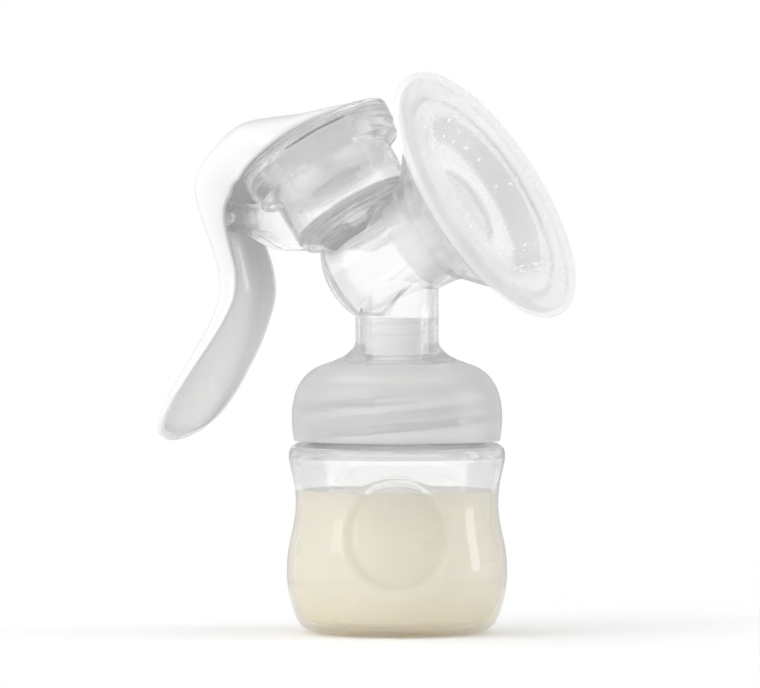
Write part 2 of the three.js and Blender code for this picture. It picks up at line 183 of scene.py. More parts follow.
def grid_faces(mesh, rows, closed_columns):
    """Quads between closed rows of vertices, where a row's repeated vertices count once."""
    count = len(rows[0])
    row_pairs = list(zip(rows, rows[1:])) + ([(rows[-1], rows[0])] if closed_columns else [])
    for lower, upper in row_pairs:
        for i in range(count):
            j = (i + 1) % count
            corners = list(dict.fromkeys([lower[i], lower[j], upper[j], upper[i]]))
            if len(corners) > 2:
                mesh.faces.new(corners)


def turned(name, outline, place=UPRIGHT, facets=AROUND, reshape=None):
    """A solid turned about the Z axis of its place, from an outline of (radius, height). The outline
    starts and ends on the axis, or closes on itself. reshape may move each point before it is placed."""
    mesh = bmesh.new()
    rows = []
    for radius, height in outline:
        if radius < 1e-6:
            rows.append([mesh.verts.new(place @ Vector((0, 0, height)))] * facets)
            continue
        row = []
        for i in range(facets):
            turn = 2 * math.pi * i / facets
            point = Vector((radius * math.cos(turn), radius * math.sin(turn), height))
            if reshape:
                point = reshape(point)
            row.append(mesh.verts.new(place @ point))
        rows.append(row)
    grid_faces(mesh, rows, outline[0][0] >= 1e-6)
    return object_from(name, mesh)


def rod(name, radius, start, end, edge=0.4, facets=AROUND_SMALL):
    """A round rod with softened ends between two points."""
    start, end = Vector(start), Vector(end)
    length = (end - start).length
    turn = Vector((0, 0, 1)).rotation_difference(end - start).to_matrix().to_4x4()
    outline = rounded([(0, 0), (radius, 0, edge), (radius, length, edge), (0, length)], 3)
    return turned(name, outline, Matrix.Translation(start) @ turn, facets)


def plate(name, outline, start, end, edge=0.5):
    """A plate parallel to the XZ plane between two values of Y, with softened edges."""
    mesh = bmesh.new()
    face = mesh.faces.new([mesh.verts.new((x, start, z)) for x, z in outline])
    extruded = bmesh.ops.extrude_face_region(mesh, geom=[face])
    moved = [v for v in extruded["geom"] if isinstance(v, bmesh.types.BMVert)]
    bmesh.ops.translate(mesh, verts=moved, vec=(0, end - start, 0))
    bmesh.ops.recalc_face_normals(mesh, faces=mesh.faces)
    if edge > 0:
        rims = [e for e in mesh.edges if e.calc_face_angle(0) > math.radians(60)]
        bmesh.ops.bevel(mesh, geom=rims, offset=edge, segments=3, affect="EDGES", profile=0.5)
    return object_from(name, mesh)


def swept(name, sections):
    """A solid through closed loops of points."""
    mesh = bmesh.new()
    rows = [[mesh.verts.new(point) for point in section] for section in sections]
    grid_faces(mesh, rows, False)
    mesh.faces.new(list(reversed(rows[0])))
    mesh.faces.new(rows[-1])
    return object_from(name, mesh)


def combine(piece, others, operation, solver="MANIFOLD"):
    """Joins the other solids to the piece, or cuts them out of it."""
    for other in others:
        modifier = piece.modifiers.new("combine", "BOOLEAN")
        modifier.operation = operation
        modifier.solver = solver
        modifier.object = other
        bpy.context.view_layer.update()
        result = bpy.data.meshes.new_from_object(piece.evaluated_get(bpy.context.evaluated_depsgraph_get()))
        piece.modifiers.clear()
        old = piece.data
        piece.data = result
        bpy.data.meshes.remove(old)
        bpy.data.objects.remove(other)
    shade(piece)
    return piece


# ---- materials ----

class Finish:
    """A Principled material whose colour and roughness vary over the surface, with a fine moulded grain."""

    def __init__(self, name, colour, roughness, **sockets):
        self.material = bpy.data.materials.new(name)
        self.material.use_nodes = True
        self.nodes = self.material.node_tree.nodes
        self.links = self.material.node_tree.links
        self.shader = self.nodes["Principled BSDF"]
        self.coordinates = self.nodes.new("ShaderNodeTexCoord")
        self.shader.inputs["Base Color"].default_value = (*colour, 1)
        self.shader.inputs["Roughness"].default_value = roughness
        for socket, value in sockets.items():
            self.shader.inputs[socket.replace("_", " ")].default_value = value

    def noise(self, scale, detail=2.0):
        """A noise value over the surface. scale counts its blobs in a metre."""
        texture = self.nodes.new("ShaderNodeTexNoise")
        texture.inputs["Scale"].default_value = scale
        texture.inputs["Detail"].default_value = detail
        self.links.new(self.coordinates.outputs["Object"], texture.inputs["Vector"])
        return texture.outputs["Fac"]

    def mapped(self, value, low, high, start=0.3, end=0.7):
        """The value carried from the range start to end onto the range low to high."""
        node = self.nodes.new("ShaderNodeMapRange")
        node.inputs["From Min"].default_value = start
        node.inputs["From Max"].default_value = end
        node.inputs["To Min"].default_value = low
        node.inputs["To Max"].default_value = high
        self.links.new(value, node.inputs["Value"])
        return node.outputs["Result"]

    def height(self):
        separate = self.nodes.new("ShaderNodeSeparateXYZ")
        self.links.new(self.coordinates.outputs["Object"], separate.inputs["Vector"])
        return separate.outputs["Z"]

    def mixed(self, factor, first, second):
        """Two colours mixed by a value."""
        node = self.nodes.new("ShaderNodeMix")
        node.data_type = "RGBA"
        node.inputs[6].default_value = (*first, 1)
        node.inputs[7].default_value = (*second, 1)
        self.links.new(factor, node.inputs[0])
        return node.outputs[2]

    def drive(self, socket, value):
        self.links.new(value, self.shader.inputs[socket])
        return self

    def grain(self, scale, strength, distance=0.0002):
        """A fine bump."""
        bump = self.nodes.new("ShaderNodeBump")
        bump.inputs["Strength"].default_value = strength
        bump.inputs["Distance"].default_value = distance
        self.links.new(self.noise(scale), bump.inputs["Height"])
        self.links.new(bump.outputs["Normal"], self.shader.inputs["Normal"])
        return self

    def painted_glow(self, strength):
        """Painted light: a white emission of its own that makes the piece brighter, standing in for the light
        that soaks through a thin white wall.
        """
        self.shader.inputs["Emission Color"].default_value = (1, 1, 1, 1)
        self.shader.inputs["Emission Strength"].default_value = strength

    def on(self, piece):
        piece.data.materials.clear()
        piece.data.materials.append(self.material)


CLEAR_ALPHA = 0.72      # lets part of the light straight through the clear walls
CLEAR_GRAIN = (90, 0.03, 0.0004)        # the bump's scale, strength and distance
# painted light: the strength of the white plastic's own emission
WHITE_PAINTED_GLOW = 0.06


def white_plastic():
    pale = (0.77, 0.77, 0.775)
    dull = (0.75, 0.75, 0.755)
    finish = Finish("white_plastic", pale, 0.24, IOR=1.5, Coat_Weight=0.25, Coat_Roughness=0.08)
    # painted light: the white plastic glows a little
    finish.painted_glow(WHITE_PAINTED_GLOW)
    finish.drive("Roughness", finish.mapped(finish.noise(60, 3), 0.2, 0.3))
    finish.drive("Base Color", finish.mixed(finish.noise(25), pale, dull))
    return finish.grain(1400, 0.05)


def clear_plastic(name, tint):
    finish = Finish(name, tint, 0.03, IOR=1.45, Transmission_Weight=1.0, Alpha=CLEAR_ALPHA)
    finish.drive("Roughness", finish.mapped(finish.noise(120, 3), 0.015, 0.05))
    return finish.grain(*CLEAR_GRAIN)


def body_plastic():
    """Clear above, and frosted on the collar."""
    finish = Finish("clear_body", (0.98, 0.983, 0.985), 0.03, IOR=1.4, Alpha=CLEAR_ALPHA)
    height = finish.height()
    frost = finish.mapped(height, 1, 0, (FROST_TOP - 0.6) * MM, (FROST_TOP + 0.6) * MM)
    rough = finish.nodes.new("ShaderNodeMix")
    finish.links.new(frost, rough.inputs[0])
    finish.links.new(finish.mapped(finish.noise(120, 3), 0.015, 0.05), rough.inputs[2])
    finish.links.new(finish.mapped(finish.noise(300, 3), 0.34, 0.46), rough.inputs[3])
    finish.drive("Roughness", rough.outputs[0])
    finish.drive("Transmission Weight", finish.mapped(frost, 1, 0.72, 0, 1))
    return finish.grain(*CLEAR_GRAIN)


def painted_shade_plastic():
    """Painted shade: clear plastic tinted dark, for the shade on the bottle's shoulder under the collar, in
    the cup's solid bottom and on the threads.
    """
    return clear_plastic("painted_shade_plastic", (0.42, 0.425, 0.43))


def silicone(name, shade, roughness, alpha=1.0, painted_glow=0.0):
    """Milky silicone. alpha is how much of the light one face of a thin wall holds back, and the last
    argument is the strength of a painted light, a white emission of its own.
    """
    finish = Finish(name, (shade, shade, shade), roughness, IOR=1.41, Alpha=alpha)
    finish.painted_glow(painted_glow)
    finish.drive("Roughness", finish.mapped(finish.noise(200, 3), roughness - 0.05, roughness + 0.08))
    pale = (shade, shade, shade)
    dull = (0.965 * shade, 0.968 * shade, 0.972 * shade)
    finish.drive("Base Color", finish.mixed(finish.noise(70, 3), pale, dull))
    return finish.grain(900, 0.04)


def milk_liquid():
    low = (0.98, 0.885, 0.7)
    high = (0.99, 0.93, 0.795)
    finish = Finish("milk", high, 0.3, IOR=1.35, Subsurface_Weight=0.25, Subsurface_Scale=0.01)
    finish.shader.inputs["Subsurface Radius"].default_value = (1.0, 0.75, 0.45)
    finish.drive("Roughness", finish.mapped(finish.noise(50), 0.25, 0.35))
    height = finish.mapped(finish.height(), 0, 1, 0.003, 0.018)
    finish.drive("Base Color", finish.mixed(height, low, high))
    return finish.grain(40, 0.02)


def tint_faces(piece, material, chosen):
    """Gives the faces whose centre, in millimetres, is chosen their own material."""
    piece.data.materials.append(material)
    for face in piece.data.polygons:
        if chosen(face.center / MM):
            face.material_index = len(piece.data.materials) - 1


# ---- screw thread ----

THREAD_STEPS = 110
THREAD_PROFILE = rounded([
    (-0.7, -1.5), (0, -1.5, 0.15), (1, -0.8, 0.3), (1, 0.8, 0.3), (0, 1.5, 0.15), (-0.7, 1.5),
], 3)


def thread_ridge(radius, side, start_turn, start_z, turns):
    """One right-hand ridge on a wall of this radius, outside it for side +1 and inside it for side -1.
    It fades out at both ends."""
    sections = []
    for i in range(THREAD_STEPS + 1):
        along = i / THREAD_STEPS
        fade = min(1, 0.15 + 8 * min(along, 1 - along))
        turn = start_turn + 2 * math.pi * turns * along
        section = []
        for x, y in THREAD_PROFILE:
            r = radius + side * (x * THREAD_HEIGHT * fade if x > 0 else x)
            z = start_z + y + THREAD_LEAD * turns * along
            section.append((r * math.cos(turn), r * math.sin(turn), z))
        sections.append(section)
    return swept("thread", sections)


def two_start_thread(radius, side, start_z, zero_z, turns):
    """Two ridges half a turn apart, on the helix that passes angle 0 at the height zero_z."""
    first = 2 * math.pi * (start_z - zero_z) / THREAD_LEAD
    return [thread_ridge(radius, side, first + turn, start_z, turns) for turn in (0, math.pi)]


# ---- bottle and milk ----

WALL_OUTSIDE = [
    (24, 0), (27.8, 0.8), (30.6, 2.8), (33.1, 9), (34.3, 15), (34.5, 21), (33.8, 27.5), (32.6, 33),
    (31.8, 39), (32, 45), (33, 50.5), (33.9, 55), (33.4, 57.8), (31.5, 59.3),
]
WALL_INSIDE = [
    (30.4, 57.2), (31.8, 55), (31, 50.5), (30, 45), (29.8, 39), (30.6, 33), (31.8, 27.5), (32.5, 21),
    (32.3, 15), (31.1, 9.5), (28.7, 4.6), (24.4, 3),
]


def smoothstep(value, start, end):
    t = min(1, max(0, (value - start) / (end - start)))
    return t * t * (3 - 2 * t)


def press_dimples(point):
    """Sinks a point of the bottle's wall, or of the milk against it, where one of the two opposite thumb
    dimples is."""
    radius = math.hypot(point.x, point.y)
    turn = math.atan2(point.y, point.x) - DIMPLE_TURN
    away = math.hypot(math.atan(math.tan(turn)) * radius, point.z - DIMPLE_HEIGHT)
    sink = DIMPLE_DEPTH * (1 - smoothstep(away, DIMPLE_INNER_R, DIMPLE_OUTER_R))
    lip = DIMPLE_LIP * math.exp(-((away - DIMPLE_OUTER_R - 0.5 * DIMPLE_LIP_WIDTH) / DIMPLE_LIP_WIDTH) ** 2)
    scale = (radius - sink + lip) / radius
    return Vector((point.x * scale, point.y * scale, point.z))


def press_wall(point):
    """The same for a point of the wall, and no change to the base, the shoulder and the neck."""
    on_wall = DIMPLE_FLOOR < point.z < DIMPLE_CEILING and math.hypot(point.x, point.y) > WALL_LEAST_R
    return press_dimples(point) if on_wall else point


def bottle():
    outside = [(0, 0.5), (19, 0.5), (21, 0.15)] + smooth(WALL_OUTSIDE, 12)
    neck = [
        (29.2, 59.7, 0.3), (BOTTLE_NECK_R, 60.6, 0.5), (BOTTLE_NECK_R, 77.2, 0.8), (26.2, 77.2, 0.8),
        (26.2, 60, 1.0),
    ]
    outline = rounded(outside + neck + smooth(WALL_INSIDE, 6) + [(0, 2.8)], 4)
    shell = turned("bottle_shell", outline, facets=AROUND_BOTTLE, reshape=press_wall)
    thread = two_start_thread(BOTTLE_NECK_R, 1, BOTTLE_THREAD_Z, BOTTLE_THREAD_Z, THREAD_TURNS)
    return combine(shell, thread, "UNION")


def on_shoulder_or_thread(point):
    """Whether the point is on the shoulder under the bottle's neck, which gets a painted shadow from the
    collar, or on the neck's thread, which gets painted shade.
    """
    radius = math.hypot(point.x, point.y)
    return (58.3 < point.z < 61 and radius > 28) or (61 < point.z < 76.9 and radius > BOTTLE_NECK_R + 0.15)


def milk():
    """The milk touches the wall, and its surface climbs a little there."""
    side = [(r + 0.04, z) for r, z in reversed(smooth(WALL_INSIDE, 6)) if z < MILK_Z - 0.2]
    rise = [(29.98, 0.75), (29.6, 0.35), (29.0, 0.08), (28, 0), (0, 0)]
    surface = [(radius, MILK_Z + height) for radius, height in rise]
    outline = [(0, 2.76)] + side + surface
    return turned("milk_fill", outline, facets=AROUND_BOTTLE, reshape=press_wall)


# ---- pump body ----

def collar_and_neck():
    return turned("collar_outside", rounded([
        (0, 60.1), (32.4, 60.1, 0.5), (33.1, 66.3, 3), (32.8, 71.3, 2), (31.7, 76.3, 2.4),
        (28.9, 80.7, 2.2), (24.8, 83.5, 2), (20.7, 84.8, 1.4), (15.8, 87, 1.8), (13, 90, 1.6),
        (13, 112), (0, 112),
    ], 4))


def collar_cavity():
    return turned("collar_inside", rounded([
        (0, 55), (COLLAR_INNER_R, 55), (COLLAR_INNER_R, 74, 2), (28.9, 77.7, 0.4), (25.8, 77.7, 0.4),
        (25.8, 73.5, 0.4), (24.3, 73.5, 0.4), (24.3, 79.6, 1.5), (20, 82.8, 1.5), (11, 85.6, 0.5),
        (11, 112), (0, 112),
    ], 3))


def arc(centre_x, centre_y, radius, start, end, steps):
    """Points of a circular arc between two angles in degrees."""
    angles = [math.radians(start + (end - start) * i / steps) for i in range(steps + 1)]
    return [(centre_x + radius * math.cos(a), centre_y + radius * math.sin(a)) for a in angles]


def dome_back(radius, tube_radius):
    """The outline of the elbow's spherical back, out to the tube's radius."""
    half = math.degrees(math.asin(tube_radius / radius))
    points = arc(0, 0, radius, -90, -90 + half, 16)
    return [(0, -radius)] + points[1:]


def elbow_outside():
    return turned("elbow_outside", rounded(dome_back(24, 15.5) + [
        (16, 0, 5), (16.6, 5, 2), (17.8, 14.6, 3), (33.6, 30.4, 1.5), (36.4, 33, 1), (41.4, 33.5, 0.3),
        (41.9, 34.4, 0.3), (41.4, 35.2, 0.3), (0, 35.2),
    ]), IN_FUNNEL)


def elbow_cavity():
    return turned("elbow_inside", rounded(dome_back(22, 13.5) + [
        (14, 0, 5), (14.6, 5, 2), (15.6, 14.5, 1), (17.4, 16.9, 1), (34, 33.6, 0.8), (34.8, 35.2, 0.3),
        (34.8, 37), (0, 37),
    ]), IN_FUNNEL)


def ringed_fillet():
    """The rounding under the cup, with three fine rings moulded into it."""
    rings = 3
    steps = 48
    points = []
    for i in range(steps + 1):
        turn = math.radians(-90 + 90 * i / steps)
        radius = 5.4 - 0.12 * (1 + math.cos(2 * math.pi * rings * i / steps))
        points.append((15 + radius * math.cos(turn), 19 + radius * math.sin(turn)))
    return points


def chamber_outside():
    return turned("chamber_outside", rounded([(0, 8), (15, 8)] + ringed_fillet() + [
        (20.4, 33.4, 0.7), (24.6, 34, 0.5), (24.9, 37.8, 0.3), (25.6, 38.4, 0.3), (25.85, 42.6, 0.1),
        (25.65, 42.8, 0.1), (25.65, 43.1, 0.1), (25.9, 43.3, 0.1), (25.9, 44.4, 0.5), (0, 44.4),
    ], 4), IN_CHAMBER)


def chamber_cavity():
    return turned("chamber_inside", rounded([(0, 16.2)] + arc(14.6, 20.2, 4, -90, 0, 8) + [
        (18.6, 42.2, 0.4), (24, 42.4, 0.3), (24, 46), (0, 46),
    ], 3), IN_CHAMBER)


SLOT_LOW = 40.7         # heights of the rim slot's walls along the chamber's axis
SLOT_HIGH = 41.4


def rim_slot(side):
    """A narrow slot that runs a short way round the rim's outside."""
    steps = 40
    sections = []
    for i in range(steps + 1):
        turn = math.radians(side * (39 + 49 * i / steps))
        floor_r = 25.8 - 0.9 * min(1, 0.1 + 8 * min(i, steps - i) / steps)
        corners = [(floor_r, SLOT_LOW), (26.4, SLOT_LOW), (26.4, SLOT_HIGH), (floor_r, SLOT_HIGH)]
        sections.append([
            IN_CHAMBER @ Vector((radius * math.cos(turn), radius * math.sin(turn), height))
            for radius, height in corners
        ])
    return swept("rim_slot", sections)


def bracket():
    """The hinge's two cheeks, and the thin web that joins them below."""
    lower = smooth([(-25, 120.2), (-33, 119.6), (-40.5, 120.4), (-48, 124.2)], 4)
    cheek = arc(PIVOT[0], PIVOT[2], 4.4, 80, 290, 20) + list(reversed(lower)) + [
        from_chamber(-10, 15), from_chamber(-19.4, 36), from_chamber(-24, 37),
    ]
    web = lower + [(x + 0.5, z + 1.8) for x, z in reversed(lower)]
    return [
        plate("cheek", cheek, -8, -5, 0.5),
        plate("cheek", cheek, 5, 8, 0.5),
        plate("web", web, -5.5, 5.5, 0),
    ]


def pump_shell():
    outside = combine(collar_and_neck(), [elbow_outside(), chamber_outside(), *bracket()], "UNION")
    inside = combine(collar_cavity(), [
        elbow_cavity(), chamber_cavity(),
        rod("air_passage", AIR_PASSAGE_R, IN_CHAMBER @ Vector((0, 0, 8)), IN_CHAMBER @ Vector((0, 0, 20)), 0),
        rod("pin_hole", PIN_HOLE_R, (PIVOT[0], -9, PIVOT[2]), (PIVOT[0], 9, PIVOT[2]), 0),
    ], "UNION")
    thread = two_start_thread(
        COLLAR_INNER_R, -1, COLLAR_THREAD_Z, BOTTLE_THREAD_Z - THREAD_DROP, COLLAR_THREAD_TURNS,
    )
    shell = combine(combine(outside, [inside, rim_slot(-1), rim_slot(1)], "DIFFERENCE"), thread, "UNION")
    shell.name = "pump_shell"
    return shell


def on_cup_bottom_or_thread(point):
    """Whether the point is on the solid rounded bottom of the chamber or on the collar's thread, both of
    which get painted shade.
    """
    place = IN_CHAMBER.inverted() @ point
    in_funnel = IN_FUNNEL.inverted() @ point
    in_cup = math.hypot(place.x, place.y) < 20.5 and 7.9 < place.z < 19
    on_thread = 60.5 < point.z < 73 and 28.9 < math.hypot(point.x, point.y) < COLLAR_INNER_R - 0.15
    return on_thread or (in_cup and math.hypot(in_funnel.x, in_funnel.y) > 16.2)


def in_rim_slot(point):
    """Whether the point is on the floor or the walls of a rim slot."""
    place = IN_CHAMBER.inverted() @ point
    in_height = SLOT_LOW - 0.05 < place.z < SLOT_HIGH + 0.05
    return 24.8 < math.hypot(place.x, place.y) < 25.7 and in_height


# ---- silicone pieces ----

CUSHION_OUTLINE = rounded([
    (13.8, 6, 0.3), (14.2, 14, 2), (14.2, 25.5, 1), (15.6, 27.1, 0.8), (24.2, 25.3, 1), (26.4, 26.3, 0.9),
    (27.8, 28.4, 1), (29.7, 34.6, 0.8), (31, 36, 0.6), (34.3, 35.5, 0.3), (42.2, 35.6, 0.1),
    (42.2, 33.4, 0.4), (43.3, 33.4, 0.4), *arc(41, 35.3, 3, -20, 80, 12), (36.5, 39.2, 2),
    (31.5, 39.4, 1.6), (28.8, 37.4, 0.9), (28, 34.4, 1), (26, 27.8, 0.8), (24.6, 26.9, 0.8),
    (15.8, 28.9, 0.8), (14.4, 29.4, 0.7), (13.2, 28.6, 0.6), (12.6, 27, 0.8), (12, 6, 0.3),
])


def cushion():
    return turned("cushion_skin", CUSHION_OUTLINE, IN_FUNNEL, AROUND_CUSHION)


def on_painted_shade_silicone(point):
    """Whether the point is on the cushion's steep inner wall, or in its tunnel near the mouth: the faces that
    get painted shade.
    """
    place = IN_FUNNEL.inverted() @ point
    radius = math.hypot(place.x, place.y)
    on_wall = 25 < radius < 26.1 + 0.29 * (place.z - 27.6) and 27.2 < place.z < 35
    in_tunnel = radius < 13 and 17.5 < place.z < 28.4
    return on_wall or in_tunnel


# (count, radii of the dots, and the two ends of a band as radius and height along the funnel's axis)
DOT_BANDS = [
    (40, (0.45, 0.6, 0.75), (26.2, 28.3), (27.9, 34.6)),
    (60, (0.25, 0.35, 0.45), (24.2, 26.99), (25.6, 27.5)),
    (50, (0.2, 0.3), (16.4, 28.77), (24, 27.03)),
    (60, (0.25, 0.35, 0.5), (28.4, 35.7), (30.2, 38.4)),
    (60, (0.15, 0.2, 0.3), (31.5, 39.25), (36.5, 39.15)),
    (16, (0.15, 0.2, 0.25), (37, 39.1), (41.5, 38.28)),
]


def dotted(rng):
    """The small raised dots of the cushion's inner face and lip, as one mesh."""
    mesh = bmesh.new()
    for count, sizes, inner, outer in DOT_BANDS:
        slope = math.atan2(outer[1] - inner[1], outer[0] - inner[0])
        for _ in range(count):
            across = rng.random()
            turn = rng.uniform(0, 2 * math.pi)
            radius = inner[0] + (outer[0] - inner[0]) * across
            height = inner[1] + (outer[1] - inner[1]) * across
            size = rng.choice(sizes)
            place = IN_FUNNEL @ Matrix.Rotation(turn, 4, "Z") @ Matrix.Translation((radius, 0, height))
            place = place @ Matrix.Rotation(-slope, 4, "Y") @ Matrix.Diagonal((size, size, 0.5 * size, 1))
            bmesh.ops.create_icosphere(mesh, subdivisions=2, radius=1, matrix=place)
    return object_from("cushion_dots", mesh, math.radians(80))


VALVE_TOP_Z = 98.6
VALVE_TIP_Z = 67


def bill(name, radius, tip_z, tip_half_width, tip_half_thickness, top):
    """A round tube that flattens towards its tip, as a duck's bill does."""
    sections = []
    for i in range(25):
        along = i / 24
        flat = smoothstep(along, 0.1, 1)
        half_width = radius + (tip_half_width - radius) * flat
        half_thickness = radius + (tip_half_thickness - radius) * flat
        z = top + (tip_z - top) * along
        turns = [2 * math.pi * k / AROUND_SMALL for k in range(AROUND_SMALL)]
        sections.append([(half_width * math.cos(a), half_thickness * math.sin(a), z) for a in turns])
    return swept(name, sections)


def valve():
    plug = turned("valve_skin", rounded([
        (0, 82.2), (14, 82.2, 0.4), (14, 83.4, 0.4), (10.3, 84.3, 0.5), (10.3, 93.3, 0.1),
        (10.7, 93.5, 0.1), (10.7, 95, 0.1), (10.3, 95.2, 0.1), (10.3, 96.9, 0.1),
        (10.7, 97.1, 0.1), (10.7, VALVE_TOP_Z, 0.3), (0, VALVE_TOP_Z),
    ], 3))
    bore = turned("valve_bore", [(0, 81.5), (8.6, 81.5), (8.6, 100), (0, 100)])
    outside = combine(plug, [bill("bill", 9.6, VALVE_TIP_Z, 8.2, 1.4, 82.8)], "UNION", "EXACT")
    inside = combine(bore, [bill("bill_bore", 8.2, VALVE_TIP_Z + 1.2, 7, 0.5, 82)], "UNION", "EXACT")
    return combine(outside, [inside], "DIFFERENCE", "EXACT")


def diaphragm():
    """A folded cup: its flange lies in the rim's rebate, and its middle holds the stem."""
    return turned("diaphragm_skin", rounded([
        (23.6, 42.8, 0.3), (23.6, 44.3, 0.5), (17, 44.3, 0.7), (16.6, 30, 1.2), (15.4, 28.6, 0.7),
        (13.9, 28.6, 1), (11.6, 31.6, 1), (9.6, 32, 0.5), (3, 32, 0.3), (3, 30.6, 0.3),
        (9.4, 30.6, 0.4), (10.6, 30.1, 0.8), (13.2, 27.2, 1.2), (16, 27.2, 1.5), (17.7, 29.4, 1.6),
        (18.1, 42.8, 0.4),
    ], 4), IN_CHAMBER)


# ---- stem ----

BAR_T = 47.5            # the bar's height along the chamber's axis
BAR_R = 1.4


def stem():
    post = turned("stem_post", rounded([
        (0, 28.1), (8, 28.1, 0.5), (8.6, 28.7, 0.3), (8.6, 30.2, 0.4), (2.6, 30.2, 0.3), (2.6, 32.4, 0.3),
        (6, 32.4, 0.3), (6, 33.6, 0.5), (4.2, 34.4, 0.7), (2.8, 36, 1), (2.6, 48.6, 0.3), (2.1, 49.1, 0.3),
        (0, 49.1),
    ], 4), IN_CHAMBER, AROUND_SMALL)
    ends = [IN_CHAMBER @ Vector((0, y, BAR_T)) for y in (-6, 6)]
    bar = rod("stem_bar", BAR_R, *ends, 0.4)
    return combine(post, [bar], "UNION")


# ---- handle ----

SQUEEZE = math.radians(15)
SECTION_POWER = 2.5
HANDLE_WALL = 2
HANDLE_EDGE = 0.9           # rounding of the handle's rim
DOME_CENTRE_R = -3
DOME_HALF_LENGTH = 23
DOME_HALF_WIDTH = 26
DOME_EDGE_T = 45
DOME_CROWNS = [
    (19.97, 45.7), (19.6, 46.1), (18.6, 46.6), (17, 47.2), (12, 49.2), (6, 51.6), (-4, 57), (-12, 60.9),
    (-18, 62),
]
LEVER_STATIONS = [
    (from_chamber(-22, DOME_EDGE_T), from_chamber(-27, 61.3), 15.6),
    (from_chamber(-24.8, 44.9), from_chamber(-34.5, 59.2), 14.5),
    (from_chamber(-28, 43), from_chamber(-40, 55.8), 14),
    ((-53.4, 134), (-67.9, 135), 13.9),
    ((-53.6, 128.5), (-65.4, 128), 13.8),
    ((-52, 121.5), (-62.3, 121), 13.6),
    ((-49.6, 113.5), (-59.8, 113.2), 13.9),
    ((-49.3, 105.5), (-59.2, 105.2), 14.8),
    ((-52, 98), (-61.6, 97.2), 16.4),
    ((-56, 90.6), (-65.2, 89.6), 18.6),
    ((-60.8, 83), (-69.4, 81.8), 20.4),
    ((-66, 75), (-73.8, 73.8), 21.3),
    ((-71.2, 67.4), (-77.5, 66.9), 19.6),
    ((-75.4, 62.1), (-79.3, 61.8), 14.2),
    ((-77.5, 59.6), (-79, 59.4), 6),
    ((-77.9, 59.2), (-78.8, 59.1), 1.5),
]


def dome_half_width(radius):
    """The dome's edge is an ellipse."""
    along = (radius - DOME_CENTRE_R) / DOME_HALF_LENGTH
    return DOME_HALF_WIDTH * math.sqrt(max(1 - along ** 2, 0.001))


def dome_station(radius, crown_height):
    place = (from_chamber(radius, DOME_EDGE_T), from_chamber(radius * 1.05, crown_height))
    return (*place, dome_half_width(radius))


def boxy(value):
    return math.copysign(abs(value) ** (2 / SECTION_POWER), value)


def arch(half_width, depth, start_height, steps):
    """Half-round points (across, up) from one side to the other, beginning at a height over the rim."""
    first = math.asin(min(0.99, start_height / depth) ** (SECTION_POWER / 2))
    angles = [first + (math.pi - 2 * first) * i / steps for i in range(steps + 1)]
    return [(half_width * boxy(math.cos(a)), depth * boxy(math.sin(a))) for a in angles]


def handle_section(half_width, depth, solid):
    """The closed loop of one section, as (across, up) points. solid is 1 where the section isn't hollow."""
    edge = min(HANDLE_EDGE, 0.45 * depth, 0.4 * half_width)
    hollow = 1 - solid
    inner_width = max(0.5 * edge, (half_width - HANDLE_WALL) * hollow)
    inner_depth = max(0.6 * edge, (depth - HANDLE_WALL) * hollow)
    inner_edge = min(edge, 0.5 * inner_depth)
    points = arch(half_width, depth, edge, 48)
    points += [(-x, y) for x, y in arc(half_width - edge, edge, edge, 0, -90, 5)[1:]]
    points += [(-x, y) for x, y in arc(inner_width + inner_edge, inner_edge, inner_edge, 270, 180, 5)]
    points += list(reversed(arch(inner_width, inner_depth, inner_edge, 40)))[1:]
    points += arc(inner_width + inner_edge, inner_edge, inner_edge, 180, 270, 5)[1:]
    points += arc(half_width - edge, edge, edge, -90, 0, 5)[:-1]
    return points


def handle():
    stations = [dome_station(*crown) for crown in DOME_CROWNS] + LEVER_STATIONS
    rims = [s[0] for s in stations]
    crowns = [s[1] for s in stations]
    widths = [[s[2]] for s in stations]
    last = len(stations) - 1
    count = last * 8
    sections = []
    for i in range(count + 1):
        position = last * i / count
        rim = spline_point(rims, position)
        crown = spline_point(crowns, position)
        half_width = float(spline_point(widths, position)[0])
        rim_radius = (IN_CHAMBER.inverted() @ Vector((rim[0], 0, rim[1]))).x
        if position <= len(DOME_CROWNS) - 1:
            half_width = dome_half_width(rim_radius)
        depth = float(np.linalg.norm(crown - rim))
        out = (crown - rim) / depth
        solid = max(1 - smoothstep(position, 1.5, 3.4), smoothstep(position, last - 2.4, last - 1.2))
        loop = handle_section(half_width, depth, solid)
        sections.append([(rim[0] + out[0] * up, -across, rim[1] + out[1] * up) for across, up in loop])
    return swept("handle_shell", sections)


def bar_seen_by_handle(angle):
    """Where the stem's bar is in the handle's own frame once the handle has turned by this angle."""
    pivot = IN_CHAMBER.inverted() @ Vector(PIVOT)
    r, t = -pivot.x, BAR_T - pivot.z - pivot.x * angle
    return (
        pivot.x + r * math.cos(angle) + t * math.sin(angle),
        pivot.z - r * math.sin(angle) + t * math.cos(angle),
    )


def handle_ribs():
    """Two ribs under the dome, each with a slot that the stem's bar runs in."""
    end_r, end_t = bar_seen_by_handle(SQUEEZE)
    slot_r = BAR_R + 0.4
    slope = math.degrees(math.atan2(end_t - BAR_T, end_r))
    slot = arc(0, BAR_T, slot_r, slope + 90, slope + 270, 14)
    slot += arc(end_r, end_t, slot_r, slope - 90, slope + 90, 14)
    rib = [(-5.5, 44), (-3, 42.6), (7.5, 42.6), (9.5, 44), (9.5, 49.2), (3, 52.3), (-5.5, 56.8)]
    ribs = []
    for side in (-1, 1):
        start, end = sorted((3.3 * side, 5.3 * side))
        body = plate("rib", [from_chamber(*p) for p in rib], start, end, 0.4)
        cut = plate("slot", [from_chamber(*p) for p in slot], start - 1, end + 1, 0)
        ribs.append(combine(body, [cut], "DIFFERENCE"))
    return ribs


